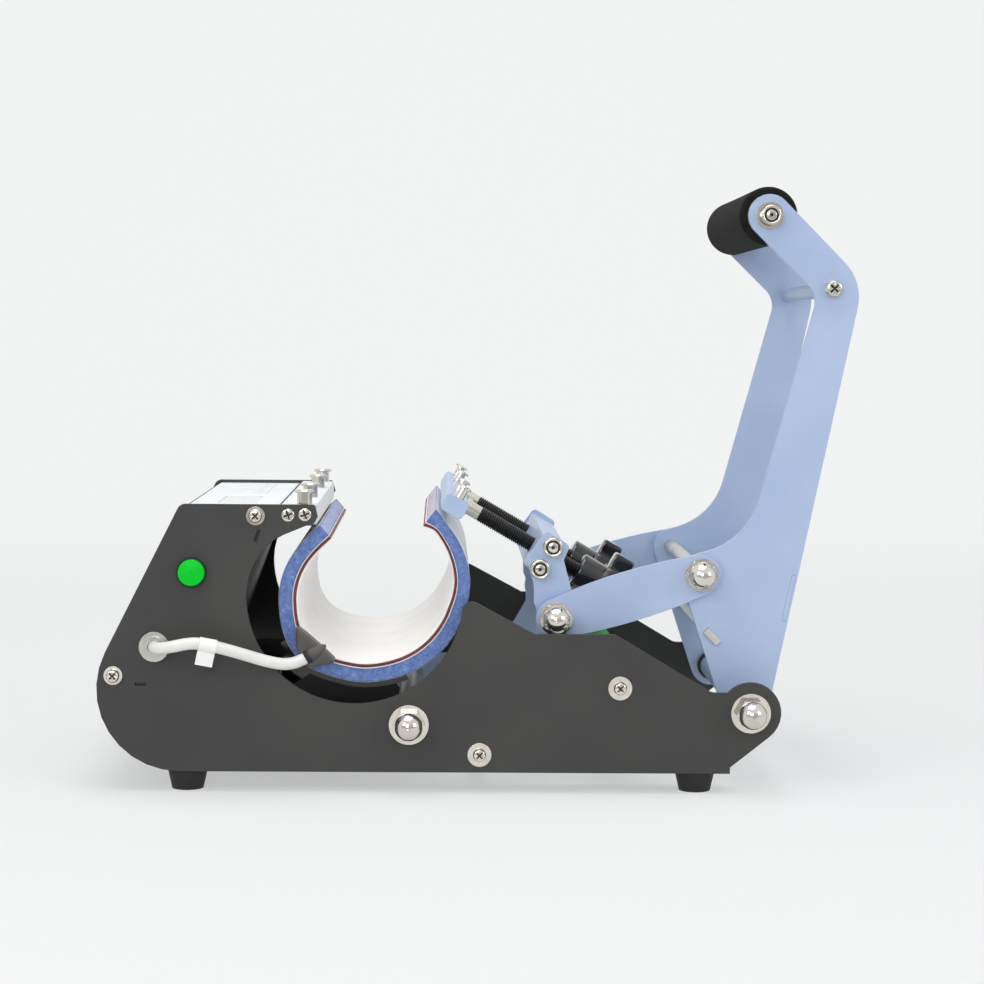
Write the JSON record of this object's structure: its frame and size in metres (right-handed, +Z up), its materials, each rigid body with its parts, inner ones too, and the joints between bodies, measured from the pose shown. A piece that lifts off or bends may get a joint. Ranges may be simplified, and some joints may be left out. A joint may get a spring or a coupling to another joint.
{
  "type": "tumbler heat press",
  "caption": "Lever-closed heat press for cups and tumblers: a padded heated wrap between dark side plates, closed by a blue over-centre lever, links and screw-adjusted tension bar.",
  "frame": {"origin": "under the middle of the open machine, on the surface that the feet stand on", "axes": "+X from the control box towards the lever, +Y away from the camera across the side plates, +Z up"},
  "size_m": [0.4583, 0.2807, 0.3668],
  "materials": {
    "grey_powder_coat": "satin powder coat",
    "blue_powder_coat": "satin powder coat",
    "zinc_steel": "bright zinc plate",
    "nickel": "bright nickel plate",
    "black_oxide": "black oxide",
    "black_enamel": "gloss enamel",
    "foot_rubber": "matt rubber",
    "green_sleeve": "gloss",
    "panel_white": "satin white",
    "window": "polished",
    "keypad_sheet": "fine matt",
    "circuit_board": "solder mask",
    "module_metal": "anodised",
    "socket_plastic": "fine matt",
    "green_cap": "lit gloss",
    "brass_nickel": "nickel-plated brass",
    "lead_silicone": "satin silicone",
    "tag_vinyl": "matt",
    "junction_rubber": "moulded",
    "sponge": "cut sponge",
    "mat_silicone": "ribbed silicone",
    "liner": "smooth silicone",
    "star_plastic": "gloss",
    "foam": "foam skin"
  },
  "bodies": {
    "frame": {"side_plate_near": "grey_powder_coat", "side_plate_far": "grey_powder_coat", "tie_rods": "zinc_steel", "rod_sleeve": "green_sleeve", "feet": "foot_rubber", "foot_screws": "nickel", "lever_shaft": "zinc_steel", "yoke_shaft": "zinc_steel", "pivot_spacers": "zinc_steel", "pivot_washers": "nickel", "pivot_acorn_nuts": "nickel", "plate_screws": "nickel", "countersunk_screws": "nickel", "box_cover": "grey_powder_coat", "box_tray": "grey_powder_coat", "control_panel": "panel_white", "display_window": "window", "keypad": "keypad_sheet", "control_board": "circuit_board", "power_module": "module_metal", "power_inlet": "socket_plastic", "fuse_holder": "socket_plastic", "switch_body": "socket_plastic", "heater_gland": "brass_nickel", "heater_lead": "lead_silicone", "lead_tag": "tag_vinyl", "heater_junction": "junction_rubber", "wrap_sponge": "sponge", "wrap_heating_mat": "mat_silicone", "wrap_liner": "liner", "cradle": "black_enamel", "hook_bar": "panel_white", "hook_posts": "nickel"},
    "switch_cap": {"switch_cap": "green_cap"},
    "lever": {"lever_plate_near": "blue_powder_coat", "lever_plate_far": "blue_powder_coat", "lever_hub_tube": "blue_powder_coat", "crank_rod": "zinc_steel", "crank_nuts": "nickel", "lever_tie_rod": "blue_powder_coat", "lever_cross_bar": "zinc_steel", "lever_web": "blue_powder_coat", "grip_bar": "zinc_steel", "grip_foam": "foam", "lever_screws": "nickel"},
    "links": {"link_near": "blue_powder_coat", "link_far": "blue_powder_coat", "link_studs": "nickel"},
    "yoke": {"yoke_plate_near": "blue_powder_coat", "yoke_plate_far": "blue_powder_coat", "yoke_hub_tube": "zinc_steel", "yoke_cross_rod": "zinc_steel", "yoke_block": "blue_powder_coat", "yoke_screws": "nickel"},
    "tension": {"tension_bar": "blue_powder_coat", "bar_fittings": "nickel"},
    "knob_near": {"threaded_rod_near": "black_oxide", "star_knob_near": "star_plastic"},
    "knob_far": {"threaded_rod_far": "black_oxide", "star_knob_far": "star_plastic"}
  },
  "joints": [
    {"name": "lever_hinge", "type": "hinge", "parent": "frame", "child": "lever", "pos_m": [0.16413, 0, 0.0495], "axis": [0, -1, 0], "range_deg": [0, 41.2]},
    {"name": "yoke_hinge", "type": "hinge", "parent": "frame", "child": "yoke", "pos_m": [-0.0419, 0, 0.0415], "axis": [0, -1, 0], "range_deg": [0, 27.6], "deforming": ["wrap_sponge", "wrap_heating_mat", "wrap_liner"]},
    {"name": "link_hinge", "type": "hinge", "parent": "lever", "child": "links", "pos_m": [0.13563, 0, 0.13101], "axis": [0, -1, 0], "range_deg": [-88, 0]},
    {"name": "knob_near_turn", "type": "hinge", "parent": "tension", "child": "knob_near", "pos_m": [0.04093, -0.05, 0.14042], "axis": [0.866, 0, -0.5], "range_deg": [0, 4320]},
    {"name": "knob_far_turn", "type": "hinge", "parent": "tension", "child": "knob_far", "pos_m": [0.04093, 0.05, 0.14042], "axis": [0.866, 0, -0.5], "range_deg": [0, 4320]},
    {"name": "bar_slide", "type": "slide", "parent": "yoke", "child": "tension", "axis": [0.866, 0, -0.5], "range_m": [0, 0.018]},
    {"name": "button_press", "type": "slide", "parent": "frame", "child": "switch_cap", "axis": [0, 1, 0], "range_m": [0, 0.003], "stiffness_N_per_m": 300, "springref_m": -0.001}
  ],
  "couplings": [
    {"joint": "yoke_hinge", "follows": "lever_hinge", "ratio": 0.66906},
    {"joint": "link_hinge", "follows": "lever_hinge", "ratio": -2.1338},
    {"joint": "knob_near_turn", "follows": "bar_slide", "rad_per_m": 4188.8},
    {"joint": "knob_far_turn", "follows": "bar_slide", "rad_per_m": 4188.8}
  ]
}
